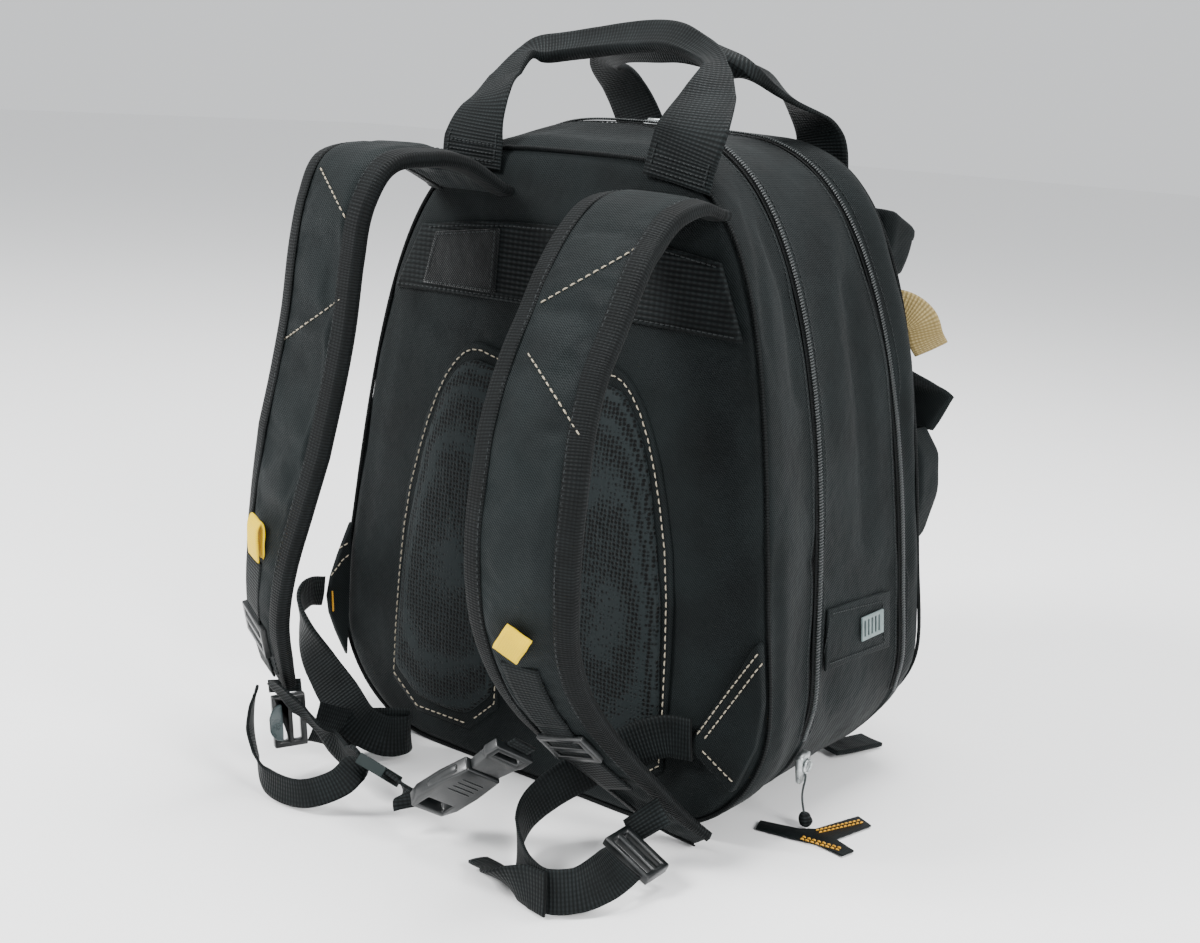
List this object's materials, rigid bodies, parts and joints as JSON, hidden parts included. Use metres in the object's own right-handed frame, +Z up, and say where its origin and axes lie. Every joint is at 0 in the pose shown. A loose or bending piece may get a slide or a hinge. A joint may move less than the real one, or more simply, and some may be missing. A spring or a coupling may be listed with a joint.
{
  "type": "tool backpack",
  "caption": "Tall soft tool backpack with zipped main body, padded shoulder straps, sternum strap, carry handles and open front pockets, standing on its base.",
  "frame": {"origin": "centre of the flat base, on the floor", "axes": "+Z up, -Y out of the back panel that carries the shoulder straps, +X towards the wearer's right"},
  "size_m": [0.4011, 0.407, 0.5024],
  "materials": {
    "pack_fabric": "matte fine twill",
    "air_mesh": "open spacer mesh",
    "webbing": "ribbed woven webbing",
    "zip_tape": "woven tape with coil teeth",
    "slider_metal": "worn satin metal",
    "hard_plastic": "moulded, soft gloss",
    "grey_plastic": "moulded, matte",
    "grey_elastic": "woven elastic",
    "yellow_ribbon": "smooth ribbon",
    "khaki_webbing": "ribbed woven webbing"
  },
  "bodies": {
    "root": {"gusset": "pack_fabric", "zip_rear": "zip_tape", "zip_front": "zip_tape", "back_panel": "pack_fabric", "front_panel": "pack_fabric", "back_band": "webbing", "hook_patch": "webbing", "mesh_pad_left": "air_mesh", "mesh_pad_right": "air_mesh", "wing_right": "pack_fabric", "wing_left": "pack_fabric", "strap_left": "pack_fabric", "strap_right": "pack_fabric", "strap_rail_left": "webbing", "strap_rail_right": "webbing", "triglide_left": "hard_plastic", "triglide_right": "hard_plastic", "yellow_tab_left": "yellow_ribbon", "yellow_tab_right": "yellow_ribbon", "lower_webbing_right": "webbing", "lower_webbing_left": "webbing", "lower_tail_right": "webbing", "ladder_lock_left": "hard_plastic", "ladder_lock_right": "hard_plastic", "ladder_webbing_left": "webbing", "ladder_webbing_right": "webbing", "sternum_webbing_right": "webbing", "sternum_webbing_left": "webbing", "sternum_tail": "webbing", "buckle_female": "hard_plastic", "buckle_male": "hard_plastic", "keeper": "grey_elastic", "handle_rear": "webbing", "handle_front": "webbing", "side_patch": "pack_fabric", "slotted_plate": "grey_plastic", "upper_pocket": "pack_fabric", "lower_pocket": "pack_fabric", "pocket_flap": "pack_fabric", "khaki_loop": "khaki_webbing", "foot_tab": "pack_fabric", "zip_slider_rear": "slider_metal", "zip_slider_front": "slider_metal", "pull_cord": "grey_elastic", "pull_knot": "webbing", "pull_strip": "webbing"}
  },
  "joints": []
}
